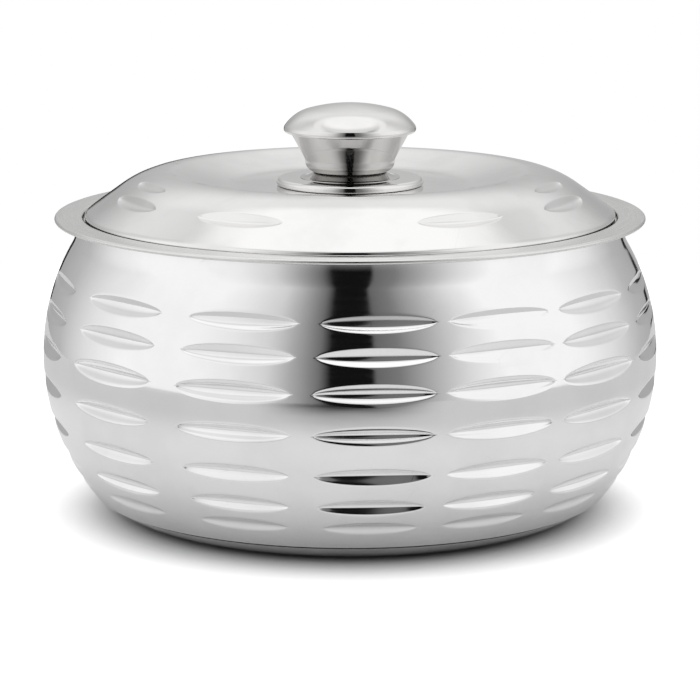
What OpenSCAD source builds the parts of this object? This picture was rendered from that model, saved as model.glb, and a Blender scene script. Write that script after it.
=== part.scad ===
// Insulated chapati casserole: double-walled steel bowl with a lift-off lid.
// Millimetres. Origin at the centre of the base on the table, +Z up, front
// towards -Y. Every round piece turns about the Z axis.

/* [Bowl] */
// Largest outside diameter of the belly
belly_d = 247.6; // [240:0.2:256]
// Height of the belly's widest point
belly_z = 63.5; // [60:0.5:67]
// Radius of the belly's bulge, seen from the side
bulge_r = 88; // [84:0.5:92]
// How far the flat ring that stands on the table lies in from the belly's widest point
foot_inset = 40.8; // [38:0.2:44]
// Width from the belly's widest point in to the food pan's wall
wall_w = 24.8; // [23:0.2:27]
// Height of the pan's inside floor above the table
pan_floor_z = 20; // [14:1:30]
// Width of the ledge that the lid rests on
ledge_w = 8.5; // [8:0.1:9]
// Width of the rim outside that ledge
rim_w = 10.9; // [10:0.1:12]

/* [Dimples] */
// Number of dimple columns round the belly
columns = 14; // [12:2:16]
// Depth of a belly dimple
dimple_depth = 2; // [1.2:0.1:2.2]
// Width of the widest belly dimple
dimple_w = 8; // [6:0.5:9]
// Azimuth of the first column, 0 being the front
column_start = 3.4; // [0:0.1:10]
// Largest shift of a column away from an even pitch, in degrees
column_drift = 2.8; // [0:0.1:3]

/* [Lid] */
// Height of the lid's crest above its rolled lip
crest_rise = 17.37; // [16:0.01:19]
// Width from the lid's crest circle out to its lip
shoulder_w = 34.5; // [32:0.5:37]
// Depth of the well, where the knob stands, below the crest
well_depth = 5.9; // [5.2:0.1:6.4]
// Depth of the lid's plug below the ledge
plug_depth = 12; // [9:0.5:16]

/* [Knob] */
// Height of the knob's hollow cup, from its rounded foot up to the cap's edge
flare_h = 12.7; // [11.5:0.1:14]
// Radius of the knob cap
cap_r = 26.5; // [24:0.1:28]
// Radius of the disc under the knob
disc_r = 29.5; // [28:0.5:32]

/* [Hidden] */
$fn = 96;
sheet = 0.6;
knob_sheet = 0.8;
far = 200;

// radii of the pan and its rim
pan_r = belly_d / 2 - wall_w;
step_r = pan_r + ledge_w;
rim_r = step_r + rim_w;

// shell
belly_x = belly_d / 2 - bulge_r;
seam_z = 8;
neck_gap = 2.5;
neck_r = step_r + neck_gap;
neck_fillet = 12;
neck_fillet_z = belly_z + sqrt(pow(bulge_r + neck_fillet, 2) - pow(neck_r + neck_fillet - belly_x, 2));
neck_angle = atan2(neck_fillet_z - belly_z, neck_r + neck_fillet - belly_x);
rim_rise = 5.51;
rim_z = neck_fillet_z + rim_rise;
flare_r = 1.5;
flare_inside_end = 110;
shell_top_z = rim_z - sheet;
flare_z = shell_top_z - sheet - flare_r;
shell_lip_r = rim_r - 2 * sheet;
row_place = [0.085, 0.17, 0.292, 0.443, 0.589, 0.716, 0.829];
row_z = [for (place = row_place) seam_z + place * (neck_fillet_z - seam_z)];
row_len = [35, 40, 43, 45, 46, 45, 43];
drift_turn = 15;
cut_over = 0.55;

// base, whose bend runs into a spigot that lies against the shell's inside
foot_r = belly_d / 2 - foot_inset;
spigot_r = bulge_r - sheet * 1.5;
spigot_h = 3.7;
base_bend = (pow(spigot_r, 2) - pow(foot_r - belly_x, 2) - pow(belly_z - sheet / 2, 2))
    / (2 * (spigot_r - belly_z + sheet / 2));
base_bend_z = base_bend + sheet / 2;
base_angle = atan2(base_bend_z - belly_z, foot_r - belly_x);
spigot_end = max(base_angle + 2, asin((seam_z + spigot_h - belly_z) / spigot_r));

// pan
pan_wall_r = pan_r + sheet / 2;
pan_corner_r = 18.3;
ledge_bend = 1.8;
step_bend = 0.85;
ledge_z = rim_z - 2 * step_bend;
hem_bend = sheet;
hem_leaf = 4;

// lid, whose lip stands just clear of the ledge
crest_inner_bend = 8;
lid_slope = 35.6;
well_slope = 15;
well_bend = 8;
lip_gap = 1;
lip_lift = 0.33;
lip_bend = 1.4;
lip_leaf = 5;
lip_r = step_r - lip_gap;
lip_x = lip_r - lip_bend;
lip_z = ledge_z + lip_lift + lip_bend;
lip_leaf_r = lip_r - lip_leaf;
crest_r = lip_r - shoulder_w;
crest_z = lip_z + crest_rise;
crest_bend = ((lip_x - crest_r) * sin(lid_slope) - crest_rise * cos(lid_slope) + lip_bend)
    / (1 - cos(lid_slope));
crest_base_z = crest_z - crest_bend;
well_z = crest_z - well_depth;
well_rise = well_depth - crest_inner_bend * (1 - cos(well_slope));
well_corner_r = crest_r - crest_inner_bend * sin(well_slope) - well_rise / tan(well_slope);
well_bend_x = well_corner_r - well_bend * tan(well_slope / 2);
plug_z = ledge_z - plug_depth;
plug_gap = 1.1;
liner_z = lip_z - lip_bend + sheet * 1.5;
liner_edge_r = lip_x - 0.1;
plug_wall_r = pan_r - plug_gap;
plug_top_bend = 1.8;
plug_corner = 7.7;
lid_dimple_depth = 0.8;
lid_dimple_w = 8;
low_dimple_inset = 12.5;
low_dimple_turn = 18.5;
low_dimple_half = 18;
high_dimple_up = 68.2;
high_dimple_turn = 23;
high_dimple_half = 13;

// knob and its fastening
screw_r = 2.45;
bore_r = 2.5;
hole_r = 2.75;
disc_h = 3;
disc_bend = 1.6;
collar_h = 2.2;
collar_overhang = 6.5;
collar_taper = 5.4;
collar_edge = 0.2;
disc_z = well_z + disc_h;
cup_z = disc_z + collar_h;
collar_base_r = cap_r - collar_overhang;
collar_top_r = collar_base_r - collar_taper;
collar_rise = collar_h - collar_edge;
collar_bend = (pow(collar_taper, 2) + pow(collar_rise, 2)) / (2 * collar_rise);
cap_overhang = 8.4;
cup_r = cap_r - cap_overhang;
cup_corner = 4.6;
cup_wall_z = cup_z + cup_corner;
flare_in = 2;
flare_out = 1.6;
crown_r = 63;
crown_angle = 74.5;
shoulder_angle = 53;
cap_edge = 5.4;
cap_curl = 1.5;
shoulder_r = (cap_r - cap_edge - crown_r * cos(crown_angle) + cap_edge * cos(shoulder_angle))
    / (cos(shoulder_angle) - cos(crown_angle));
cap_edge_z = cup_wall_z + flare_h;
shoulder_x = (crown_r - shoulder_r) * cos(crown_angle);
shoulder_z = cap_edge_z - (shoulder_r - cap_edge) * sin(shoulder_angle);
crown_z = shoulder_z - (crown_r - shoulder_r) * sin(crown_angle);
insert_r = 5;
insert_h = 10;
plate_r = 20;
plate_t = 1.5;
washer_r = 7.5;
washer_t = 1;
lock_r = 4.6;
lock_t = 1.3;
lock_gap = 1;
head_r = 4.75;
head_h = 3.1;
screw_grip = 9;
plate_z = well_z - sheet - plate_t;
washer_z = plate_z - washer_t;
lock_z = washer_z - lock_t;
screw_top_z = cup_z + screw_grip;

// foam
foam_gap = 0.1;
foam_top_z = neck_fillet_z + 0.8;

// Piece to draw, or all of them

// Points along one arc, given as [centre x, centre z, radius, first angle, last angle],
// moved sideways to the left of its direction. Short chords keep it within 0.02 mm.
function arc_points(arc, left = 0) =
    let (
        r = arc[2] + (arc[4] > arc[3] ? -left : left),
        steps = max(1, ceil(abs(arc[4] - arc[3]) / (2 * acos(1 - 0.02 / max(r, 0.05)))))
    )
    [
        for (i = [0 : arc[4] == arc[3] ? 0 : steps])
            let (angle = arc[3] + (arc[4] - arc[3]) * i / steps)
            [arc[0] + r * cos(angle), arc[1] + r * sin(angle)]
    ];

// A line of arcs joined by straight runs, moved sideways.
function line_points(arcs, left = 0) = [for (arc = arcs) each arc_points(arc, left)];

function backwards(list) = [for (i = [len(list) - 1 : -1 : 0]) list[i]];

// The section of a bent sheet: its middle line is a line of arcs joined by straight runs.
// A plain end is an arc of no radius, with the direction to the sheet's left as its angle.
module bent_sheet(arcs, t = sheet) {
    polygon(concat(line_points(arcs, t / 2), backwards(line_points(arcs, -t / 2))));
}

// A flat ring or disc with a hole.
module ring(outer, inner, low, height) {
    difference() {
        translate([0, 0, low]) cylinder(r = outer, h = height);
        translate([0, 0, low - 1]) cylinder(r = inner, h = height + 2);
    }
}

// Cutter for one pressed dimple: a wide V that runs along x = 0, across the surface,
// whose local normal is +x and whose curve along the dimple is 1 / bow. It is deepest
// in the middle and runs out to a point at each end.
module dimple(depth, half, width, bow, grow) {
    wall = atan2(width / 2, depth);
    open = depth + cut_over;
    curve = 2 * depth / (half * half) - 1 / bow;
    side = curve > 0 ? 1 : -1;
    ring_r = 1 / max(abs(curve), 0.0005);
    span = asin((half + 3) / ring_r);
    apex = depth + grow / sin(wall);
    mouth = (open + apex - depth) * tan(wall);
    translate([side * ring_r - depth, 0, 0])
        rotate([0, 0, side > 0 ? 180 - span : -span])
            rotate_extrude(angle = 2 * span)
                polygon([
                    [ring_r + side * (apex - depth), 0],
                    [ring_r - side * open, -mouth],
                    [ring_r - side * open, mouth]
                ]);
}

// The belly's dimples lie level, so each turns about an upright axis.
module belly_dimple(row, azimuth, grow) {
    up = asin((row_z[row] - belly_z) / bulge_r);
    rho = belly_x + bulge_r * cos(up);
    half = row_len[row] / 2;
    width = dimple_w * row_len[row] / max(row_len);
    curve = 1 / rho - 2 * dimple_depth / (half * half * cos(up));
    ring_r = (curve > 0 ? 1 : -1) / max(abs(curve), 0.0005);
    wall = atan2(width / 2, dimple_depth);
    open = dimple_depth + cut_over + grow;
    span = asin((half + 3) / ring_r);
    rotate([0, 0, azimuth - 90])
        translate([rho - dimple_depth * cos(up) - ring_r, 0, 0])
            rotate([0, 0, -span])
                rotate_extrude(angle = 2 * span)
                    translate([ring_r, row_z[row] - dimple_depth * sin(up)])
                        rotate(up)
                            translate([-grow / sin(wall), 0])
                                polygon([[0, 0], [open, -open * tan(wall)], [open, open * tan(wall)]]);
}

// The child shape with the first columns of dimples cut out of it, one column at a time.
module cut_columns(count, grow) {
    if (count > 0)
        difference() {
            cut_columns(count - 1, grow) children();
            for (row = [0 : len(row_z) - 1])
                belly_dimple(row, column_azimuth(column_start + count * 360 / columns), grow);
        }
    else
        children();
}

function column_azimuth(a) = a + column_drift * cos(2 * (a + drift_turn));

// The bowl's outside, or the same surface moved inwards, up to the turned-out lip.
module belly_region(inset, low) {
    neck = arc_points([neck_r + neck_fillet, neck_fillet_z, neck_fillet + inset, 180 + neck_angle, 180]);
    flare = arc_points([neck_r + flare_r, flare_z, flare_r + inset, 180, inset > 0 ? flare_inside_end : 90]);
    start = neck[0] + 0.8 * (neck[0] - neck[1]);
    top_z = inset > 0 ? rim_z : shell_top_z;
    lip = inset > 0
        ? [[flare[len(flare) - 1][0], top_z]]
        : [[shell_lip_r, flare_z + flare_r], [shell_lip_r, top_z]];
    intersection() {
        translate([belly_x, belly_z]) circle(r = bulge_r - inset);
        translate([0, low]) square([far, neck_fillet_z - 2 - low]);
    }
    polygon(concat([[0, start[1]], start], neck, flare, lip, [[0, top_z]]));
}

module outer_shell() {
    color([0.82, 0.82, 0.83])
    cut_columns(columns, 0)
        difference() {
            rotate_extrude() belly_region(0, seam_z);
            cut_columns(columns, sheet)
                rotate_extrude() belly_region(sheet, seam_z - 1);
        }
}

module base_cover() {
    color([0.7, 0.7, 0.71])
    rotate_extrude()
        bent_sheet([
            [0, sheet / 2, 0, 90, 90],
            [foot_r, base_bend_z, base_bend, -90, base_angle],
            [belly_x, belly_z, spigot_r, base_angle, spigot_end]
        ]);
}

module inner_pan() {
    floor_z = pan_floor_z - sheet / 2;
    ledge_mid_z = ledge_z - sheet / 2;
    rim_mid_z = rim_z - sheet / 2;
    hem_x = rim_r - hem_bend - sheet / 2;
    color([0.78, 0.78, 0.79])
    rotate_extrude()
        bent_sheet([
            [0, floor_z, 0, 90, 90],
            [pan_wall_r - pan_corner_r, floor_z + pan_corner_r, pan_corner_r, -90, 0],
            [pan_wall_r + ledge_bend, ledge_mid_z - ledge_bend, ledge_bend, 180, 90],
            [step_r - step_bend, ledge_mid_z + step_bend, step_bend, -90, 0],
            [step_r + step_bend, rim_mid_z - step_bend, step_bend, 180, 90],
            [hem_x, rim_mid_z - hem_bend, hem_bend, 90, -90],
            [hem_x - hem_leaf, rim_mid_z - 2 * hem_bend, 0, -90, -90]
        ]);
}

// Foam between pan and shell, from the base cover up to the neck.
module body_insulation() {
    foam_r = bulge_r - sheet - dimple_depth - foam_gap;
    wall = pan_r + sheet + foam_gap;
    corner = pan_corner_r + sheet / 2 + foam_gap;
    high = asin((foam_top_z - belly_z) / foam_r);
    color([0.93, 0.87, 0.62])
    rotate_extrude()
        polygon(concat(
            [[0, sheet], [foot_r, sheet]],
            arc_points([foot_r, base_bend_z, base_bend - sheet / 2 - foam_gap, -90, base_angle]),
            arc_points([belly_x, belly_z, foam_r, base_angle, high]),
            [[wall, foam_top_z]],
            arc_points([wall - corner, pan_floor_z - sheet + corner, corner, 0, -90]),
            [[0, pan_floor_z - sheet]]
        ));
}

// The lid's outside from the well to the crest and down its slope, or the same line moved inwards.
function dome_arcs(inset) = [
    [well_bend_x, well_z + well_bend, well_bend + inset, -90, well_slope - 90],
    [crest_r, crest_z - crest_inner_bend, crest_inner_bend - inset, 90 + well_slope, 90],
    [crest_r, crest_base_z, crest_bend - inset, 90, 90 - lid_slope]
];

module dome_region(inset) {
    polygon(concat(
        [[0, lip_z - lip_bend + inset], [0, well_z - inset]],
        line_points(dome_arcs(inset)),
        arc_points([lip_x, lip_z, lip_bend - inset, 90 - lid_slope, -90])
    ));
}

// One dimple on the lid, at a radius where the surface faces up by the given angle.
module lid_dimple(azimuth, radius, height, up, half, grow) {
    rotate([0, 0, azimuth - 90])
        translate([radius, 0, height])
            rotate([0, -up, 0])
                dimple(lid_dimple_depth, half, lid_dimple_w, radius / cos(up), grow);
}

// Four pairs low on the lid, and a shorter pair higher up on each side.
module lid_dimples(grow) {
    low_r = lip_r - low_dimple_inset;
    low_height = crest_base_z + crest_bend / cos(lid_slope) - (low_r - crest_r) * tan(lid_slope);
    high_r = crest_r + crest_bend * cos(high_dimple_up);
    high_height = crest_base_z + crest_bend * sin(high_dimple_up);
    for (quarter = [45 : 90 : 315])
        for (side = [-1, 1])
            lid_dimple(
                quarter + side * low_dimple_turn, low_r, low_height, 90 - lid_slope, low_dimple_half, grow
            );
    for (half_turn = [90, 270])
        for (side = [-1, 1])
            lid_dimple(
                half_turn + side * high_dimple_turn, high_r, high_height,
                high_dimple_up, high_dimple_half, grow
            );
}

module lid_cover() {
    color([0.84, 0.83, 0.82])
    difference() {
        rotate_extrude() dome_region(0);
        difference() {
            rotate_extrude() dome_region(sheet);
            lid_dimples(sheet);
        }
        lid_dimples(0);
        translate([0, 0, lip_z - lip_bend - 1]) cylinder(r = lip_leaf_r, h = 4);
        translate([0, 0, well_z - 3]) cylinder(r = hole_r, h = 6);
    }
}

module lid_liner() {
    floor_z = plug_z + sheet / 2;
    color([0.75, 0.75, 0.76])
    rotate_extrude()
        bent_sheet([
            [0, floor_z, 0, 90, 90],
            [plug_wall_r - plug_corner, floor_z + plug_corner, plug_corner, -90, 0],
            [plug_wall_r + plug_top_bend, liner_z - plug_top_bend, plug_top_bend, 180, 90],
            [liner_edge_r, liner_z, 0, 90, 90]
        ]);
}

// Foam between the lid's two skins, hollowed for the knob's fastening.
module lid_insulation() {
    inset = sheet + lid_dimple_depth + foam_gap;
    top = dome_arcs(inset);
    slope = arc_points(top[2]);
    slope_end = slope[len(slope) - 1];
    slope_z = slope_end[1] - (lip_leaf_r - slope_end[0]) * tan(lid_slope);
    flange_z = liner_z + sheet / 2 + foam_gap;
    wall = plug_wall_r - sheet / 2 - foam_gap;
    corner = plug_corner - sheet / 2 - foam_gap;
    pocket_z = lock_z - head_h - 0.4;
    pocket_r = washer_r + 0.3;
    plate_pocket_r = plate_r + 0.3;
    color([0.93, 0.87, 0.62])
    rotate_extrude()
        polygon(concat(
            [[0, plug_z + sheet], [0, pocket_z], [pocket_r, pocket_z]],
            [[pocket_r, plate_z - foam_gap], [plate_pocket_r, plate_z - foam_gap]],
            [[plate_pocket_r, well_z - inset]],
            line_points(top),
            [[lip_leaf_r, slope_z], [lip_leaf_r, flange_z], [wall, flange_z]],
            arc_points([wall - corner, plug_z + sheet + corner, corner, 0, -90])
        ));
}

module knob_escutcheon() {
    mid_z = disc_z - knob_sheet / 2;
    mid_bend = disc_bend - knob_sheet / 2;
    color([0.88, 0.88, 0.89])
    rotate_extrude()
        bent_sheet([
            [hole_r, mid_z, 0, 90, 90],
            [disc_r - disc_bend, disc_z - disc_bend, mid_bend, 90, 0],
            [disc_r - knob_sheet / 2, well_z, 0, 0, 0]
        ], knob_sheet);
}

module knob_collar() {
    low_z = disc_z + collar_edge;
    collar_turn = asin(collar_taper / collar_bend);
    color([0.86, 0.86, 0.87])
    rotate_extrude()
        polygon(concat(
            [[hole_r, disc_z], [collar_base_r, disc_z]],
            arc_points([collar_base_r, low_z + collar_bend, collar_bend, -90, -90 - collar_turn]),
            [[hole_r, cup_z]]
        ));
}

// The flare's angle is that of the straight run that touches both of its bends.
module knob_cup() {
    floor_z = cup_z + knob_sheet / 2;
    mid_in = flare_in + knob_sheet / 2;
    mid_out = flare_out + knob_sheet / 2;
    in_x = cup_r + flare_in;
    out_x = cap_r - cap_curl + 0.1;
    out_z = cap_edge_z - cap_curl + knob_sheet + 0.02 - flare_out;
    run = norm([out_x - in_x, out_z - cup_wall_z]);
    turn = atan2(out_z - cup_wall_z, out_x - in_x) + acos((mid_in - mid_out) / run);
    color([0.87, 0.87, 0.88])
    rotate_extrude()
        bent_sheet([
            [hole_r, floor_z, 0, 90, 90],
            [cup_r - cup_corner, cup_wall_z, cup_corner - knob_sheet / 2, -90, 0],
            [in_x, cup_wall_z, mid_in, 180, turn],
            [out_x, out_z, mid_out, turn, 90]
        ], knob_sheet);
}

// A flat crown, a rounder shoulder and a tight edge that is curled in under the cup's mouth.
module knob_cap() {
    color([0.9, 0.9, 0.91])
    rotate_extrude()
        bent_sheet([
            [0, crown_z, crown_r - knob_sheet / 2, 90, crown_angle],
            [shoulder_x, shoulder_z, shoulder_r - knob_sheet / 2, crown_angle, shoulder_angle],
            [cap_r - cap_edge, cap_edge_z, cap_edge - knob_sheet / 2, shoulder_angle, 0],
            [cap_r - cap_curl, cap_edge_z, cap_curl - knob_sheet / 2, 0, -90]
        ], knob_sheet);
}

module knob_insert() {
    color([0.62, 0.62, 0.64])
    ring(insert_r, bore_r, cup_z + knob_sheet, insert_h);
}

module knob_screw() {
    color([0.6, 0.6, 0.62])
    difference() {
        union() {
            translate([0, 0, lock_z - head_h]) cylinder(r1 = head_r - 0.8, r2 = head_r, h = 0.8);
            translate([0, 0, lock_z - head_h + 0.8]) cylinder(r = head_r, h = head_h - 0.8);
            translate([0, 0, lock_z - 0.5]) cylinder(r = screw_r, h = screw_top_z - lock_z + 0.5);
        }
        for (turn = [0, 90])
            rotate([0, 0, turn])
                translate([-2.5, -0.5, lock_z - head_h - 1])
                    cube([5, 1, 2.6]);
    }
}

module flat_washer() {
    color([0.66, 0.66, 0.68])
    ring(washer_r, hole_r, washer_z, washer_t);
}

module spring_washer() {
    color([0.5, 0.5, 0.52])
    difference() {
        ring(lock_r, hole_r, lock_z, lock_t);
        translate([0, -lock_gap / 2, lock_z - 1]) cube([lock_r + 1, lock_gap, lock_t + 2]);
    }
}

module backing_plate() {
    color([0.64, 0.64, 0.66])
    ring(plate_r, hole_r, plate_z, plate_t);
}

outer_shell();
base_cover();
inner_pan();
body_insulation();
lid_cover();
lid_liner();
lid_insulation();
knob_escutcheon();
knob_collar();
knob_cup();
knob_cap();
knob_insert();
knob_screw();
flat_washer();
spring_washer();
backing_plate();
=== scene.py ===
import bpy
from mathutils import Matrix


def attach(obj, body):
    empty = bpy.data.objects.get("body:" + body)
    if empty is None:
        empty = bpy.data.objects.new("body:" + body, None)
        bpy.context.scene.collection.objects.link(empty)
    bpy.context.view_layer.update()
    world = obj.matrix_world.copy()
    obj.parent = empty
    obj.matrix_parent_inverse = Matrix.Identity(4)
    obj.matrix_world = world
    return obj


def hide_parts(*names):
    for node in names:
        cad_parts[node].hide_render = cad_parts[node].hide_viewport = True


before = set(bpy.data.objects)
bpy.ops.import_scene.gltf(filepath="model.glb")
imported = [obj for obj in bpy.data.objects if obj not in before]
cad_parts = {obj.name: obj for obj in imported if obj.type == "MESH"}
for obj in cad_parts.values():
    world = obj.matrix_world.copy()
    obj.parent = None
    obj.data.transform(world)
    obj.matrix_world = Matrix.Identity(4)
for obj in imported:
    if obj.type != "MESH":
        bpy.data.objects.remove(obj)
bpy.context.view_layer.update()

import math

import bmesh
import bpy
from mathutils import Vector


# The view: a long lens a little above the rim, with the casserole filling a square
# picture from side to side.
focal_mm, sensor_mm = 154.95, 36.0
camera_back, camera_up, aim_up = 1.2, 0.2999, 0.06328
camera_data = bpy.data.cameras.new("camera")
camera_data.lens = focal_mm
camera_data.sensor_width = sensor_mm
camera = bpy.data.objects.new("camera", camera_data)
bpy.context.collection.objects.link(camera)
camera.location = (0.0, -camera_back, camera_up)
aim = Vector((0.0, 0.0, aim_up)) - camera.location
camera.rotation_euler = aim.to_track_quat("-Z", "Y").to_euler()
bpy.context.scene.camera = camera
bpy.context.scene.view_settings.view_transform = "Standard"


# The studio tent: white cloth on every side but the front, where the camera looks in
# through a dark gap, with two small black flags at the back and one wide soft light
# overhead. Polished steel shows little more than this.
class Nodes:
    """Short calls for putting the shader nodes of one tree together."""

    def __init__(self, tree):
        self.tree = tree

    def put(self, value, socket):
        if isinstance(value, bpy.types.NodeSocket):
            self.tree.links.new(value, socket)
        else:
            socket.default_value = value

    def add(self, kind, inputs=None, **settings):
        node = self.tree.nodes.new(kind)
        for name, value in settings.items():
            setattr(node, name, value)
        for name, value in (inputs or {}).items():
            self.put(value, node.inputs[name])
        return node

    def math(self, operation, *values):
        node = self.add("ShaderNodeMath", operation=operation)
        for socket, value in zip(node.inputs, values):
            self.put(value, socket)
        return node.outputs[0]

    def step(self, value, low, high, out_low=0.0, out_high=1.0):
        """Goes smoothly from out_low to out_high as value goes from low to high."""
        node = self.add("ShaderNodeMapRange", interpolation_type="SMOOTHSTEP")
        for socket, given in zip(node.inputs, (value, low, high, out_low, out_high)):
            self.put(given, socket)
        return node.outputs[0]

    def band(self, value, low, high, soft):
        """1 from low to high, falling to 0 over soft on both sides."""
        rise = self.step(value, low - soft, low)
        return self.math("MULTIPLY", rise, self.step(value, high, high + soft, 1.0, 0.0))

    def ramp(self, value, stops):
        """A grey read off (place, level) stops."""
        node = self.add("ShaderNodeValToRGB", {"Fac": value})
        marks = node.color_ramp.elements
        while len(marks) < len(stops):
            marks.new(0.5)
        for mark, (place, level) in zip(marks, stops):
            mark.position = place
            mark.color = grey(level)
        return node.outputs[0]

    def mix(self, factor, a, b):
        node = self.add("ShaderNodeMix", data_type="RGBA")
        for socket, given in zip((node.inputs[0], node.inputs[6], node.inputs[7]), (factor, a, b)):
            self.put(given, socket)
        return node.outputs[2]

    def noise(self, vector, scale, detail=2.0, roughness=0.5):
        node = self.add("ShaderNodeTexNoise", {"Vector": vector, "Scale": scale, "Detail": detail,
                                               "Roughness": roughness})
        return node.outputs[0]


def grey(level):
    return (level, level, level, 1.0)


# Bearings run from 0 at the front to 1 at the back, heights in degrees. The first three
# lists are the cloth's level by bearing, and a flag is its two sides and their softness.
gap_level = 0.006
left_of_gap = [(0.0, gap_level), (0.040, gap_level), (0.062, 0.16), (0.11, 0.38), (0.17, 0.70), (0.25, 0.90)]
right_of_gap = [(0.0, gap_level), (0.046, gap_level), (0.053, 0.14), (0.10, 0.20), (0.17, 0.45), (0.25, 0.76)]
round_to_back = [(0.33, 1.0), (0.52, 1.0), (0.62, 0.84), (0.76, 0.50),
                 (0.88, 0.40), (0.95, 0.48), (1.0, 0.56)]
left_flag, right_flag, flag_heights = (0.915, 0.982, 0.01), (0.866, 0.886, 0.008), (-9.0, -1.0, 3.0)
flag_level, high_back_level, under_level, roof_level, softbox_level = 0.01, 0.92, 0.70, 0.82, 1.12
softbox_tilt, softbox_edge, softbox_core = math.radians(9), math.radians(31), math.radians(19)

tent = bpy.data.worlds.new("studio_tent")
bpy.context.scene.world = tent
tent.use_nodes = True
tent.node_tree.nodes.clear()
n = Nodes(tent.node_tree)
direction = n.add("ShaderNodeTexCoord").outputs["Generated"]
axes = n.add("ShaderNodeSeparateXYZ", {"Vector": direction})
forward = n.math("MULTIPLY", axes.outputs["Y"], -1.0)
turn = n.math("DIVIDE", n.math("ARCTAN2", axes.outputs["X"], forward), math.pi)
bearing = n.math("ABSOLUTE", turn)
height = n.math("MULTIPLY", n.math("ARCSINE", axes.outputs["Z"]), math.degrees(1.0))
widened = n.math("MULTIPLY", bearing, n.step(height, 50.0, 60.0, 1.0, 0.55))
on_right = n.math("GREATER_THAN", turn, 0.0)
walls = n.mix(on_right, n.ramp(widened, left_of_gap + round_to_back),
              n.ramp(widened, right_of_gap + round_to_back))
high_back = n.math("MULTIPLY", n.step(bearing, 0.60, 0.85), n.step(height, 4.0, 42.0))
walls = n.mix(high_back, walls, grey(high_back_level))
flag = n.math("ADD", n.math("MULTIPLY", n.band(bearing, *right_flag), on_right),
              n.math("MULTIPLY", n.band(bearing, *left_flag), n.math("SUBTRACT", 1.0, on_right)))
walls = n.mix(n.math("MULTIPLY", flag, n.band(height, *flag_heights)), walls, grey(flag_level))
far_floor = n.math("MULTIPLY", n.step(bearing, 0.982, 0.992), n.band(height, -14.0, -2.0, 2.0))
walls = n.mix(far_floor, walls, grey(1.0))
walls = n.mix(n.step(height, -8.0, -24.0), walls, grey(under_level))
walls = n.mix(n.step(height, 59.0, 63.0), walls, grey(roof_level))
toward_softbox = (0.0, math.sin(softbox_tilt), math.cos(softbox_tilt))
off_softbox = n.add("ShaderNodeVectorMath", {0: direction, 1: toward_softbox}, operation="DOT_PRODUCT")
in_softbox = n.step(off_softbox.outputs["Value"], math.cos(softbox_edge), math.cos(softbox_core))
surround = n.mix(in_softbox, walls, grey(softbox_level))
cloth = n.add("ShaderNodeBackground", {"Color": surround, "Strength": 1.0})
backdrop = n.add("ShaderNodeBackground", {"Color": grey(1.0), "Strength": 1.0})
seen = n.add("ShaderNodeLightPath").outputs["Is Camera Ray"]
shown = n.add("ShaderNodeMixShader", {0: seen, 1: cloth.outputs[0], 2: backdrop.outputs[0]})
n.add("ShaderNodeOutputWorld", {"Surface": shown.outputs[0]})


# The table: a round sheet of white card that runs out into the white backdrop. Its shadow is
# partly cast and partly painted: a painted dark ring round the foot and a painted glow that whitens
# it farther out. In the steel it shows a painted glow close by and painted shade towards the camera.
def solid_mesh(name, verts, faces, material, sharp_from=32.0):
    """A mesh in metres, smooth except where two faces meet at sharp_from degrees or more."""
    mesh = bpy.data.meshes.new(name)
    mesh.from_pydata(verts, [], faces)
    work = bmesh.new()
    work.from_mesh(mesh)
    bmesh.ops.recalc_face_normals(work, faces=work.faces)
    limit = math.radians(sharp_from)
    for face in work.faces:
        face.smooth = True
    for edge in work.edges:
        edge.smooth = len(edge.link_faces) == 2 and edge.calc_face_angle(0.0) < limit
    work.to_mesh(mesh)
    work.free()
    mesh.materials.append(material)
    piece = bpy.data.objects.new(name, mesh)
    bpy.context.collection.objects.link(piece)
    return piece


def blank_material(name):
    material = bpy.data.materials.new(name)
    material.use_nodes = True
    material.node_tree.nodes.clear()
    return material, Nodes(material.node_tree)


table_r, table_corners = 0.62, 128
# Distances from the axis, in metres, where each painted light or shade begins and ends.
painted_contact_shadow_in, painted_contact_shadow_out, painted_contact_shadow_strength = 0.080, 0.104, 0.85
shadow_in, shadow_out, painted_lift_strength = 0.090, 0.134, 0.70
glow_in, glow_full, glow_falls, glow_out, glow_strength = 0.090, 0.145, 0.18, 0.34, 0.17

card, n = blank_material("white_card")
place = n.add("ShaderNodeTexCoord").outputs["Object"]
out_from_axis = n.add("ShaderNodeVectorMath", {0: place}, operation="LENGTH").outputs["Value"]
white = n.ramp(n.noise(place, 900.0, 3.0), [(0.3, 0.78), (0.7, 0.80)])
# Painted shadow: the card's colour is painted nearly black in a ring close round where the casserole stands.
painted_contact_shadow = n.step(out_from_axis, painted_contact_shadow_in, painted_contact_shadow_out, painted_contact_shadow_strength, 0.0)
paper = n.add("ShaderNodeBsdfDiffuse", {"Color": n.mix(painted_contact_shadow, white, grey(0.02))})
rays = n.add("ShaderNodeLightPath")
# Painted glow: for the camera the card glows white farther from the axis, which leaves a painted shadow close
# round the casserole.
painted_lift = n.math("MULTIPLY", rays.outputs["Is Camera Ray"],
              n.step(out_from_axis, shadow_in, shadow_out, 0.0, painted_lift_strength))
# Painted reflection: the card glows for the steel's reflections only, in a ring near the casserole.
near_glow = n.math("MULTIPLY", n.step(out_from_axis, glow_in, glow_full, 0.0, glow_strength),
                   n.step(out_from_axis, glow_falls, glow_out, 1.0, 0.0))
painted_reflection_glow = n.math("MULTIPLY", rays.outputs["Is Glossy Ray"], near_glow)
glow = n.add("ShaderNodeEmission", {"Color": grey(1.0), "Strength": n.math("ADD", painted_lift, painted_reflection_glow)})
lit_card = n.add("ShaderNodeAddShader", {0: paper.outputs[0], 1: glow.outputs[0]})
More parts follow.
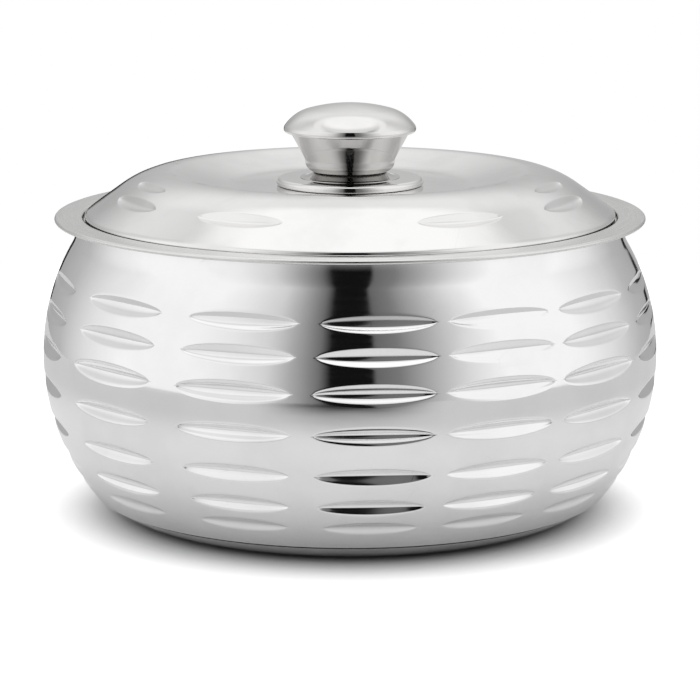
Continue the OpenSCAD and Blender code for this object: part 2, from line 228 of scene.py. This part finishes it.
# Painted shade: in the steel's reflections the card is painted dark towards the camera, lighter to the sides.
at = n.add("ShaderNodeSeparateXYZ", {"Vector": place})
in_front = n.math("MULTIPLY", at.outputs["Y"], -1.0)
aside = n.math("DIVIDE", n.math("ABSOLUTE", at.outputs["X"]), n.math("MAXIMUM", in_front, 0.01))
painted_dark_mask = n.math("MULTIPLY", n.step(in_front, 0.22, 0.60), n.step(aside, 0.30, 1.0, 1.0, 0.0))
painted_dark_mask = n.math("MULTIPLY", painted_dark_mask, rays.outputs["Is Glossy Ray"])
painted_shade = n.add("ShaderNodeEmission", {"Color": grey(1.0), "Strength": n.step(aside, 0.08, 0.70, 0.01, 0.62)})
card_shown = n.add("ShaderNodeMixShader", {0: painted_dark_mask, 1: lit_card.outputs[0], 2: painted_shade.outputs[0]})
n.add("ShaderNodeOutputMaterial", {"Surface": card_shown.outputs[0]})
card_turns = [2 * math.pi * i / table_corners for i in range(table_corners)]
card_edge = [(table_r * math.cos(turn), table_r * math.sin(turn), 0.0) for turn in card_turns]
table = solid_mesh("table_card", card_edge, [tuple(range(table_corners))], card)


# Food pan: stainless sheet, deep drawn, with a ledge and a step for the lid, and a satin
# rim whose edge is hemmed down over the shell's turned-out lip.
mm = 0.001
sheet = 0.6
chord_error, on_axis = 0.003, 1e-6


def arc(cx, cz, r, first, last):
    """Points along an arc in mm, with chords too short to see."""
    chord_turn = 2 * math.degrees(math.acos(1 - chord_error / max(r, 0.05)))
    steps = max(2, math.ceil(abs(last - first) / chord_turn))
    turns = [math.radians(first + (last - first) * i / steps) for i in range(steps + 1)]
    return [(cx + r * math.cos(turn), cz + r * math.sin(turn)) for turn in turns]


def sheet_section(line, thick=sheet):
    """The closed section of a bent sheet. Its middle line is given as arcs (cx, cz, r, first,
    last) joined by straight runs; a plain end is (x, z, 0, side, side)."""
    left, right = [], []
    for cx, cz, r, first, last in line:
        if first == last:
            dx = thick / 2 * math.cos(math.radians(first))
            dz = thick / 2 * math.sin(math.radians(first))
            left.append((cx + dx, cz + dz))
            right.append((cx - dx, cz - dz))
        else:
            out = thick / 2 if last < first else -thick / 2
            left += arc(cx, cz, r + out, first, last)
            right += arc(cx, cz, r - out, first, last)
    return left + right[::-1]


def round_axis(r, z, i, turns):
    """Point i of turns in a ring about the upright axis, counted from the front. r and z
    are in mm and the point in metres."""
    turn = 2 * math.pi * i / turns
    return (r * mm * math.sin(turn), -r * mm * math.cos(turn), z * mm)


def turned(name, section, material, turns):
    """A piece turned about the upright axis from a closed section of (radius, height) in mm."""
    verts, rings = [], []
    for r, z in section:
        if r < on_axis:
            rings.append([len(verts)] * turns)
            verts.append((0.0, 0.0, z * mm))
        else:
            rings.append(list(range(len(verts), len(verts) + turns)))
            verts += [round_axis(r, z, i, turns) for i in range(turns)]
    faces = []
    for low, high in zip(rings, rings[1:] + rings[:1]):
        if low[0] == low[1] and high[0] == high[1]:
            continue
        for i in range(turns):
            j = (i + 1) % turns
            faces.append(tuple(dict.fromkeys((low[i], low[j], high[j], high[i]))))
    return solid_mesh(name, verts, faces, material)


def dress(piece, body, node):
    """The piece stands for a solid of the same place, which is hidden, and moves with a body."""
    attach(piece, body)
    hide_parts(node)


def spun_steel_group():
    """What spinning and polishing leave on steel: fine lines level round the axis, slow waves
    in the sheet, a few hairline scratches, and faint smears from handling."""
    group = bpy.data.node_groups.new("spun_steel_marks", "ShaderNodeTree")
    lines_in = group.interface.new_socket("Lines per metre", in_out="INPUT",
                                          socket_type="NodeSocketFloat")
    lines_in.default_value = 1200.0
    for name in ("Lines", "Waves", "Scratches", "Smears"):
        group.interface.new_socket(name, in_out="OUTPUT", socket_type="NodeSocketFloat")
    n = Nodes(group)
    given = n.add("NodeGroupInput")
    place = n.add("ShaderNodeTexCoord").outputs["Object"]
    at = n.add("ShaderNodeSeparateXYZ", {"Vector": place})
    flat = n.add("ShaderNodeCombineXYZ", {"X": at.outputs["X"], "Y": at.outputs["Y"]}).outputs[0]
    out = n.add("ShaderNodeVectorMath", {0: flat}, operation="LENGTH").outputs["Value"]
    turn = n.math("ARCTAN2", at.outputs["X"], at.outputs["Y"])
    along_sheet = n.math("ADD", at.outputs["Z"], n.math("MULTIPLY", out, 0.83))

    def drawn_out(ring_r):
        """A place for noise whose marks run long round the axis: all rings shrink to ring_r."""
        ring = {"X": n.math("MULTIPLY", n.math("SINE", turn), ring_r),
                "Y": n.math("MULTIPLY", n.math("COSINE", turn), ring_r), "Z": along_sheet}
        return n.add("ShaderNodeCombineXYZ", ring).outputs[0]

    lines = n.noise(drawn_out(0.004), given.outputs[0], 3.0, 0.65)
    waves = n.noise(drawn_out(0.025), n.math("MULTIPLY", given.outputs[0], 0.11), 2.0)
    crazing = n.add("ShaderNodeTexVoronoi", {"Vector": place, "Scale": 55.0},
                    feature="DISTANCE_TO_EDGE")
    hairline = n.step(crazing.outputs["Distance"], 0.0, 0.006, 1.0, 0.0)
    in_places = n.step(n.noise(place, 70.0), 0.56, 0.62)
    smears = n.noise(place, 34.0, 4.0, 0.55)
    n.add("NodeGroupOutput", {"Lines": lines, "Waves": waves, "Smears": smears,
                              "Scratches": n.math("MULTIPLY", hairline, in_places)})
    return group


spun_steel_marks = spun_steel_group()
# Painted shade: the colour and soft edge of a dark band painted where a gap between parts lies in shadow.
painted_gap_shade_colour, painted_gap_shade_edge = (0.03, 0.03, 0.028, 1.0), 0.0002


def steel(name, tone, worn_tone, gloss, worn_gloss, lines, depth, grain=0.0, seam=None):
    """Stainless steel. Tone and roughness wander between two values, and the marks, so many
    lines to a metre, stand in the surface by depth. grain stretches its reflections round the
    axis, and seam is a pair of heights between which the steel is painted dark and rough, a
    painted shade standing in for the shadow in a gap between parts."""
    material, n = blank_material(name)
    marks = n.add("ShaderNodeGroup", node_tree=spun_steel_marks)
    marks.inputs["Lines per metre"].default_value = lines
    worn = n.step(marks.outputs["Smears"], 0.40, 0.66)
    colour = n.mix(worn, (*tone, 1.0), (*worn_tone, 1.0))
    colour = n.mix(n.math("MULTIPLY", marks.outputs["Scratches"], 0.10), colour, grey(0.55))
    wander = n.math("ADD", n.math("MULTIPLY", marks.outputs["Lines"], 0.6),
                    n.math("MULTIPLY", marks.outputs["Smears"], 0.4))
    rough = n.step(wander, 0.38, 0.62, gloss, worn_gloss)
    # Painted shade: between the two seam heights the steel is painted dark, standing in for shadow in a gap.
    if seam:
        at = n.add("ShaderNodeSeparateXYZ", {"Vector": n.add("ShaderNodeTexCoord").outputs["Object"]})
        painted_gap_shade = n.band(at.outputs["Z"], *seam, painted_gap_shade_edge)
        colour = n.mix(n.math("MULTIPLY", painted_gap_shade, 0.9), colour, painted_gap_shade_colour)
        rough = n.math("ADD", rough, n.math("MULTIPLY", painted_gap_shade, 0.4))
    relief = n.math("ADD", n.math("MULTIPLY", marks.outputs["Waves"], 7.0),
                    n.math("MULTIPLY", marks.outputs["Lines"], 0.2))
    relief = n.math("SUBTRACT", relief, n.math("MULTIPLY", marks.outputs["Scratches"], 0.5))
    bump = n.add("ShaderNodeBump", {"Strength": 1.0, "Distance": depth, "Height": relief})
    surface = n.add("ShaderNodeBsdfPrincipled", {"Base Color": colour, "Metallic": 1.0,
                                                 "Roughness": rough, "Normal": bump.outputs[0]})
    if grain:
        surface.inputs["Anisotropic"].default_value = grain
        level_lines = n.add("ShaderNodeTangent", direction_type="RADIAL", axis="Z")
        n.put(level_lines.outputs[0], surface.inputs["Tangent"])
    n.add("ShaderNodeOutputMaterial", {"Surface": surface.outputs[0]})
    return material


rim_r, rim_z = 118.4, 119.7
pan_r, pan_floor_z, pan_corner = 99.3, 19.7, 18.3
seat_r, step_bend, ledge_bend = 107.5, 0.85, 1.8
hem_end_r = 113.5
ledge_z = rim_z - 2 * step_bend - sheet / 2
pan_line = [(0.0, pan_floor_z, 0.0, 90, 90),
            (pan_r - pan_corner, pan_floor_z + pan_corner, pan_corner, -90, 0),
            (pan_r + ledge_bend, ledge_z - ledge_bend, ledge_bend, 180, 90),
            (seat_r - step_bend, ledge_z + step_bend, step_bend, -90, 0),
            (seat_r + step_bend, rim_z - sheet / 2 - step_bend, step_bend, 180, 90),
            (rim_r - 1.5 * sheet, rim_z - 1.5 * sheet, sheet, 90, -90),
            (hem_end_r, rim_z - 2.5 * sheet, 0.0, -90, -90)]
satin_steel = steel("satin_steel", (0.80, 0.80, 0.79), (0.75, 0.75, 0.74), 0.20, 0.28,
                    lines=1300.0, depth=0.000004, grain=0.4)
inner_pan = turned("inner_pan_drawn", sheet_section(pan_line), satin_steel, turns=384)
dress(inner_pan, "casserole", "inner_pan")


# Foam: stiff yellow foam that sets in place between pan and shell, and between the lid's
# two skins. It is never seen, but it has its pores for anyone who cuts the casserole open.
foam, n = blank_material("rigid_foam")
place = n.add("ShaderNodeTexCoord").outputs["Object"]
pores = n.add("ShaderNodeTexVoronoi", {"Vector": place, "Scale": 900.0}).outputs["Distance"]
cloud = n.step(n.noise(place, 60.0, 3.0), 0.35, 0.65)
foam_colour = n.mix(cloud, (0.80, 0.68, 0.36, 1.0), (0.90, 0.81, 0.52, 1.0))
foam_bump = n.add("ShaderNodeBump", {"Strength": 0.6, "Distance": 0.0004, "Height": pores})
foam_skin = n.add("ShaderNodeBsdfPrincipled", {"Base Color": foam_colour,
                                               "Normal": foam_bump.outputs[0],
                                               "Roughness": n.step(pores, 0.0, 0.6, 0.7, 0.95)})
n.add("ShaderNodeOutputMaterial", {"Surface": foam_skin.outputs[0]})
for node in ("body_insulation", "lid_insulation"):
    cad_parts[node].data.materials[0] = foam


# Outer shell: one stainless sheet bulged into a belly, pressed with seven rows of lens
# dimples, polished to a mirror, and its top edge turned out to sit under the rim.
class Section:
    """The line of a turned sheet's outside: arcs joined by straight runs, measured in mm. Its
    outside lies to the right of the way it runs, or to the left where side is -1."""

    def __init__(self, arcs, side=1.0):
        self.side = side
        self.parts = []
        self.length = 0.0
        end = None
        for cx, cz, r, first, last in arcs:
            start = (cx + r * math.cos(math.radians(first)), cz + r * math.sin(math.radians(first)))
            if end and math.dist(end, start) > 1e-4:
                self.parts.append((self.length, math.dist(end, start), end, start))
                self.length += math.dist(end, start)
            size = r * math.radians(abs(last - first))
            self.parts.append((self.length, size, (cx, cz, r, first, last), None))
            self.length += size
            end = (cx + r * math.cos(math.radians(last)), cz + r * math.sin(math.radians(last)))

    def at(self, m):
        """The radius and height at m, and the direction out of the surface."""
        begin, size, a, b = next((part for part in self.parts if m < part[0] + part[1]), self.parts[-1])
        share = min(max((m - begin) / size, 0.0), 1.0)
        if b:
            r, z = a[0] + (b[0] - a[0]) * share, a[1] + (b[1] - a[1]) * share
            dx, dz = (b[0] - a[0]) / size, (b[1] - a[1]) / size
        else:
            cx, cz, bend, first, last = a
            angle = math.radians(first + (last - first) * share)
            way = 1.0 if last > first else -1.0
            r, z = cx + bend * math.cos(angle), cz + bend * math.sin(angle)
            dx, dz = -way * math.sin(angle), way * math.cos(angle)
        return r, z, self.side * dz, -self.side * dx


# A dimple across its width, in half widths from its middle: where its rounded floor ends,
# where its straight side ends, and where its rounded lip ends.
lens_floor, lens_side, lens_lip = 0.46, 0.76, 1.06
half_lens = (0.15, 0.30, lens_floor, 0.56, 0.66, lens_side, 0.86, 0.96, lens_lip)
lens_lines = [-line for line in half_lens[::-1]] + [0.0] + list(half_lens)
lens_blunt = 0.56


def lens_sink(off, across, half_width, depth):
    """How far the sheet is pressed in at a place in one dimple: off its middle in half
    lengths, and across it in mm. The dimple shrinks towards its two ends."""
    if off >= 1.0:
        return 0.0
    edge = half_width * (1.0 - off * off) ** lens_blunt
    x = across / edge
    lip = (lens_lip - lens_side) / 2
    if x >= lens_lip:
        fall = 0.0
    elif x >= lens_side:
        fall = (lens_lip - x) ** 2 / (lens_lip - lens_side) / 2
    elif x >= lens_floor:
        fall = lip + lens_side - x
    else:
        fall = lip + lens_side - lens_floor + (lens_floor ** 2 - x * x) / lens_floor / 2
    return depth * edge / half_width * fall / (lip + lens_side - lens_floor / 2)


def nearest(azimuths, azimuth):
    """How many degrees it is to the nearest of azimuths."""
    return min(abs((azimuth - middle + 180.0) % 360.0 - 180.0) for middle in azimuths)


def spread(start, stop, count):
    """count places between start and stop, closer together near both."""
    return [start + (stop - start) * (1 - math.cos(math.pi * k / (count + 1))) / 2
            for k in range(1, count + 1)]


def pressed_columns(section, rows, gaps, turns):
    """Columns of points over a turned sheet with rows of dimples, spaced so that the rings
    through them bend along every dimple's outline. A row is (place, half_length, half_width,
    depth, azimuths), and gaps says how many rings lie before, between and after the rows."""
    columns = []
    for i in range(turns):
        azimuth = 360.0 * i / turns
        offs, places, previous = [], [0.0], 0.0
        for (place, half_length, half_width, depth, azimuths), count in zip(rows, gaps):
            r = section.at(place)[0]
            off = math.radians(nearest(azimuths, azimuth)) * r / half_length
            offs.append(off)
            beyond = min(0.12 + 0.5 * max(off - 1.0, 0.0) * half_width, 2.0)
            opening = max(half_width * max(1.0 - off * off, 0.0) ** lens_blunt, beyond)
            places += spread(previous, place - lens_lip * opening, count)
            places += [place + line * opening for line in lens_lines]
            previous = place + lens_lip * opening
        places += spread(previous, section.length, gaps[-1]) + [section.length]
        column = []
        for m in places:
            r, z, nr, nz = section.at(m)
            sink = sum(lens_sink(off, abs(m - row[0]), row[2], row[3])
                       for row, off in zip(rows, offs))
            column.append((r, z, nr, nz, sink))
        columns.append(column)
    return columns


def pressed_sheet(name, columns, closing, inside_rings, material):
    """A closed skin: the dimpled outside, then the plain rings of closing, then the inside,
    which follows the chosen rings of the outside one sheet behind."""
    def ring_behind(k, behind):
        return [(r - (sink + behind) * nr, z - (sink + behind) * nz)
                for r, z, nr, nz, sink in (column[k] for column in columns)]

    turns = len(columns)
    rings = [ring_behind(k, 0.0) for k in range(len(columns[0]))]
    rings += [[point] * turns for point in closing]
    rings += [ring_behind(k, sheet) for k in inside_rings]
    verts = [round_axis(r, z, i, turns) for ring in rings for i, (r, z) in enumerate(ring)]
    faces = []
    for k in range(len(rings)):
        low, high = k * turns, (k + 1) % len(rings) * turns
        faces += [(low + i, low + (i + 1) % turns, high + (i + 1) % turns, high + i)
                  for i in range(turns)]
    return solid_mesh(name, verts, faces, material, sharp_from=55.0)


belly_x, belly_z, bulge_r = 35.8, 63.5, 88.0
neck_r, neck_bend, neck_z = 110.0, 12.0, 114.19
seam_z, shell_lip_z, shell_lip_bend = 8.0, rim_z - 2 * sheet, 1.5
# The rows from the seam up: each one's place as a share of the height to the neck, its
# dimples' length, width and depth, and how many degrees it has drifted round the belly.
row_place = (0.085, 0.17, 0.292, 0.443, 0.589, 0.716, 0.829)
row_length = (35.0, 40.0, 43.0, 45.0, 46.0, 45.0, 43.0)
row_width = (6.6, 7.6, 7.3, 7.0, 8.1, 8.1, 8.1)
row_depth = (1.0, 2.25, 2.5, 2.65, 2.4, 2.0, 1.55)
row_drift = (-1.8, -1.7, -1.5, -1.5, -1.4, -0.8, -0.4)
dimple_columns, first_column, column_sway = 14, 3.4, 2.8
belly_turns, belly_gaps, inside_every = 896, (4, 4, 5, 6, 6, 5, 5, 6), 3

even_columns = [first_column + 360.0 * k / dimple_columns for k in range(dimple_columns)]
columns_at = [even + column_sway * math.cos(math.radians(2 * (even + 15))) for even in even_columns]
seam_angle = math.degrees(math.asin((seam_z - belly_z) / bulge_r))
neck_angle = math.degrees(math.atan2(neck_z - belly_z, neck_r + neck_bend - belly_x))
belly = Section([(belly_x, belly_z, bulge_r, seam_angle, neck_angle)])
belly_rows = []
for share, length, width, depth, drift in zip(row_place, row_length, row_width, row_depth, row_drift):
    row_z = seam_z + share * (neck_z - seam_z)
    row_angle = math.degrees(math.asin((row_z - belly_z) / bulge_r))
    belly_rows.append((bulge_r * math.radians(row_angle - seam_angle), length / 2, width / 2, depth,
                       [column + drift for column in columns_at]))
belly_columns = pressed_columns(belly, belly_rows, belly_gaps, belly_turns)
lip_bend_at = (neck_r + shell_lip_bend, shell_lip_z - shell_lip_bend)
shell_top = arc(neck_r + neck_bend, neck_z, neck_bend, 180 + neck_angle, 180)[1:]
shell_top += arc(*lip_bend_at, shell_lip_bend, 180, 90)
shell_top += [(rim_r - 2 * sheet, shell_lip_z), (rim_r - 2 * sheet, shell_lip_z + sheet)]
shell_top += arc(*lip_bend_at, shell_lip_bend + sheet, 90, 180)
shell_top += arc(neck_r + neck_bend, neck_z, neck_bend + sheet, 180, 179 + neck_angle)
mirror_steel = steel("mirror_steel", (0.91, 0.91, 0.91), (0.87, 0.87, 0.87), 0.045, 0.085,
                     lines=900.0, depth=0.000008)
outer_shell = pressed_sheet("outer_shell_skin", belly_columns, shell_top,
                            range(len(belly_columns[0]) - 1, -1, -inside_every), mirror_steel)
dress(outer_shell, "casserole", "outer_shell")


# Base cover: a pressed dish that closes the shell from below. Its wall runs up inside the
# shell's edge, which leaves a fine seam just above the table, painted dark as shade.
foot_r, base_bend = 83.0, 28.54
base_angle = math.degrees(math.atan2(base_bend + sheet / 2 - belly_z, foot_r - belly_x))
base_line = [(0.0, sheet / 2, 0.0, 90, 90),
             (foot_r, base_bend + sheet / 2, base_bend, -90, base_angle),
             (belly_x, belly_z, bulge_r - 1.5 * sheet, base_angle, base_angle + 2)]
base_steel = steel("base_steel", (0.88, 0.88, 0.88), (0.82, 0.82, 0.82), 0.10, 0.17,
                   lines=1100.0, depth=0.000005, seam=(0.0070, 0.0080))
base_cover = turned("base_cover_dish", sheet_section(base_line), base_steel, turns=360)
dress(base_cover, "casserole", "base_cover")


# Lid cover: a pressed and brushed dome. Its crest falls inwards to a round well for the
# knob and outwards to a rolled lip, and twelve dimples are pressed into its shoulder.
lid_slope, well_slope = 35.6, 15.0
crest_in, crest_rise, well_depth, well_bend = 34.5, 17.37, 5.9, 4.0
lid_r, lip_bend, lip_leaf_width, above_ledge = 106.5, 1.4, 3.6, 0.33
hole_r, hole_edge = 2.75, 0.01
# High dimples lie in pairs at the sides of the crest, low ones in pairs on the slope.
high_angle, high_length, high_width, high_depth, high_off = 68.2, 28.0, 6.8, 1.0, 23.0
low_in, low_length, low_width, low_depth, low_off = 12.5, 36.0, 8.0, 1.4, 18.5
lid_turns, lid_gaps, lip_rings = 720, (44, 5, 16), 16

lip_x, lip_z = lid_r - lip_bend, ledge_z + sheet / 2 + above_ledge + lip_bend
crest_r, crest_z = lid_r - crest_in, lip_z + crest_rise
well_z = crest_z - well_depth
slope_sin, slope_cos = math.sin(math.radians(lid_slope)), math.cos(math.radians(lid_slope))
crest_bend = ((lip_x - crest_r) * slope_sin - crest_rise * slope_cos + lip_bend) / (1 - slope_cos)
well_run = 2 * well_bend * math.sin(math.radians(well_slope))
well_fall = well_depth - 2 * well_bend * (1 - math.cos(math.radians(well_slope)))
well_x = crest_r - well_run - well_fall / math.tan(math.radians(well_slope))
dome = Section([(hole_r, well_z + hole_edge, hole_edge, -91, -90),
                (well_x, well_z + well_bend, well_bend, -90, well_slope - 90),
                (crest_r, crest_z - well_bend, well_bend, 90 + well_slope, 90),
                (crest_r, crest_z - crest_bend, crest_bend, 90, 90 - lid_slope),
                (lip_x, lip_z, lip_bend, 90 - lid_slope, -90)], side=-1.0)
crest_start, slope_start = dome.parts[-3][0], dome.parts[-2][0]
high_place = crest_start + crest_bend * math.radians(90 - high_angle)
low_place = slope_start + (lid_r - low_in - crest_r - crest_bend * slope_sin) / slope_cos
high_at = [side + off for side in (90, 270) for off in (-high_off, high_off)]
low_at = [quarter + off for quarter in (45, 135, 225, 315) for off in (-low_off, low_off)]
lid_rows = [(high_place, high_length / 2, high_width / 2, high_depth, high_at),
            (low_place, low_length / 2, low_width / 2, low_depth, low_at)]
lid_columns = pressed_columns(dome, lid_rows, lid_gaps, lid_turns)
lip_leaf = [(lip_x - lip_leaf_width, lip_z - lip_bend), (lip_x - lip_leaf_width, lip_z - lip_bend + sheet)]
lip_leaf += arc(lip_x, lip_z, lip_bend - sheet, -90, 90 - lid_slope)
# The lid steel is painted dark in a band at the lip's lower edge: painted shade in the gap over the pan's
# step.
lid_steel = steel("lid_steel", (0.86, 0.855, 0.85), (0.80, 0.795, 0.79), 0.075, 0.125,
                  lines=1400.0, depth=0.000006, grain=0.35, seam=(0.1180, 0.1193))
lid_cover = pressed_sheet("lid_cover_dome", lid_columns, lip_leaf,
                          range(len(lid_columns[0]) - lip_rings, -1, -inside_every), lid_steel)
dress(lid_cover, "lid", "lid_cover")


# Escutcheon: a polished steel disc, pressed with a rounded edge that curls in at its foot.
# It stands in the well under the knob, held by the knob's screw.
knob_sheet = 0.8
disc_r, disc_h, disc_bend, disc_foot = 29.5, 3.0, 1.6, 1.0
disc_z = well_z + disc_h
disc_line = [(hole_r, disc_z - knob_sheet / 2, 0.0, 90, 90),
             (disc_r - disc_bend, disc_z - disc_bend, disc_bend - knob_sheet / 2, 90, 0),
             (disc_r - disc_foot, well_z + disc_foot, disc_foot - knob_sheet / 2, 0, -90)]
knob_steel = steel("knob_steel", (0.84, 0.835, 0.825), (0.78, 0.775, 0.765), 0.03, 0.06,
                   lines=1600.0, depth=0.0000025)
escutcheon = turned("knob_escutcheon_disc", sheet_section(disc_line, knob_sheet), knob_steel, turns=192)
dress(escutcheon, "lid", "knob_escutcheon")


# Collar: a short steel foot, turned with a hollow flare, that stands on the disc and
# carries the knob. It sees little but the knob above it, so its steel is painted darker as shade.
collar_r, collar_top_r, collar_h, collar_edge = 20.0, 14.6, 2.2, 0.2
collar_rise = collar_h - collar_edge
collar_bend = ((collar_r - collar_top_r) ** 2 + collar_rise ** 2) / (2 * collar_rise)
collar_turn = math.degrees(math.asin((collar_r - collar_top_r) / collar_bend))
cup_z = disc_z + collar_h
collar_section = [(hole_r, disc_z), (collar_r, disc_z)]
collar_section += arc(collar_r, disc_z + collar_edge + collar_bend, collar_bend, -90, -90 - collar_turn)
collar_section += [(hole_r, cup_z)]
collar_steel_painted_dark = steel("collar_steel_painted_dark", (0.62, 0.61, 0.60), (0.55, 0.54, 0.53), 0.035, 0.07,
                     lines=1600.0, depth=0.0000025)
collar = turned("knob_collar_foot", collar_section, collar_steel_painted_dark, turns=160)
dress(collar, "lid", "knob_collar")


# Knob cup: the hollow lower half of the knob, spun from steel sheet with a rounded foot
# and a flared mouth. Its steel is painted darker than the cap's as shade, and its foot sits on
# the collar over a fine joint painted dark as shade.
cap_r, cap_curl = 26.5, 1.5
cup_r, cup_corner, flare_h = 18.1, 4.6, 12.7
flare_in, flare_out = 2.4, 2.0
mouth_out, mouth_up = 0.1, 0.02
waist_z = cup_z + cup_corner
cap_edge_z = waist_z + flare_h
in_x, out_x = cup_r + flare_in - knob_sheet / 2, cap_r - cap_curl + mouth_out
out_z = cap_edge_z - cap_curl + 1.5 * knob_sheet + mouth_up - flare_out
flare_turn = math.atan2(out_z - waist_z, out_x - in_x)
flare_turn += math.acos((flare_in - flare_out) / math.hypot(out_x - in_x, out_z - waist_z))
flare_turn = math.degrees(flare_turn)
cup_line = [(hole_r, cup_z + knob_sheet / 2, 0.0, 90, 90),
            (cup_r - cup_corner, waist_z, cup_corner - knob_sheet / 2, -90, 0),
            (in_x, waist_z, flare_in, 180, flare_turn), (out_x, out_z, flare_out, flare_turn, 90)]
cup_steel_painted_dark = steel("cup_steel_painted_dark", (0.68, 0.67, 0.66), (0.61, 0.60, 0.59), 0.035, 0.07,
                  lines=1600.0, depth=0.0000025, seam=(0.1360, 0.1366))
cup = turned("knob_cup_spun", sheet_section(cup_line, knob_sheet), cup_steel_painted_dark, turns=192)
dress(cup, "lid", "knob_cup")


# Knob cap: the polished upper half of the knob, a pillow dome pressed from steel sheet.
# Its edge is curled in round the cup's mouth and holds the two together.
crown_r, crown_angle, shoulder_angle, edge_bend = 63.0, 74.5, 35.0, 2.4
crown_cos, shoulder_cos = math.cos(math.radians(crown_angle)), math.cos(math.radians(shoulder_angle))
edge_x = cap_r - edge_bend
shoulder_r = (edge_x - crown_r * crown_cos + edge_bend * shoulder_cos) / (shoulder_cos - crown_cos)
shoulder_x = (crown_r - shoulder_r) * crown_cos
shoulder_z = cap_edge_z - (shoulder_r - edge_bend) * math.sin(math.radians(shoulder_angle))
crown_z = shoulder_z - (crown_r - shoulder_r) * math.sin(math.radians(crown_angle))
cap_line = [(0.0, crown_z, crown_r - knob_sheet / 2, 90, crown_angle),
            (shoulder_x, shoulder_z, shoulder_r - knob_sheet / 2, crown_angle, shoulder_angle),
            (edge_x, cap_edge_z, edge_bend - knob_sheet / 2, shoulder_angle, 0),
            (cap_r - cap_curl, cap_edge_z, cap_curl - knob_sheet / 2, 0, -90)]
cap = turned("knob_cap_dome", sheet_section(cap_line, knob_sheet), knob_steel, turns=224)
dress(cap, "lid", "knob_cap")


# Fastening: a screw with lock and flat washers pulls the knob's threaded boss down onto
# the lid through a stiffening disc. All of it lies hidden between cover and liner or in
# the knob.
hardware_steel = steel("hardware_steel", (0.62, 0.62, 0.64), (0.52, 0.52, 0.54), 0.30, 0.42,
                       lines=1800.0, depth=0.00001)
for node in ("knob_insert", "knob_screw", "flat_washer", "spring_washer", "backing_plate"):
    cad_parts[node].data.materials[0] = hardware_steel


# Lid liner: the drawn steel underside of the lid, a shallow plug that drops into the pan,
# its flange held in the cover's rolled lip.
plug_gap, plug_floor_z, plug_corner, flange_gap = 1.4, 106.0, 7.7, 0.1
plug_r, plug_z = pan_r - plug_gap, plug_floor_z + sheet / 2
liner_z = lip_z - lip_bend + 1.5 * sheet
liner_line = [(0.0, plug_z, 0.0, 90, 90),
              (plug_r - plug_corner, plug_z + plug_corner, plug_corner, -90, 0),
              (plug_r + ledge_bend, liner_z - ledge_bend, ledge_bend, 180, 90),
              (lip_x - flange_gap, liner_z, 0.0, 90, 90)]
lid_liner = turned("lid_liner_plug", sheet_section(liner_line), satin_steel, turns=360)
dress(lid_liner, "lid", "lid_liner")
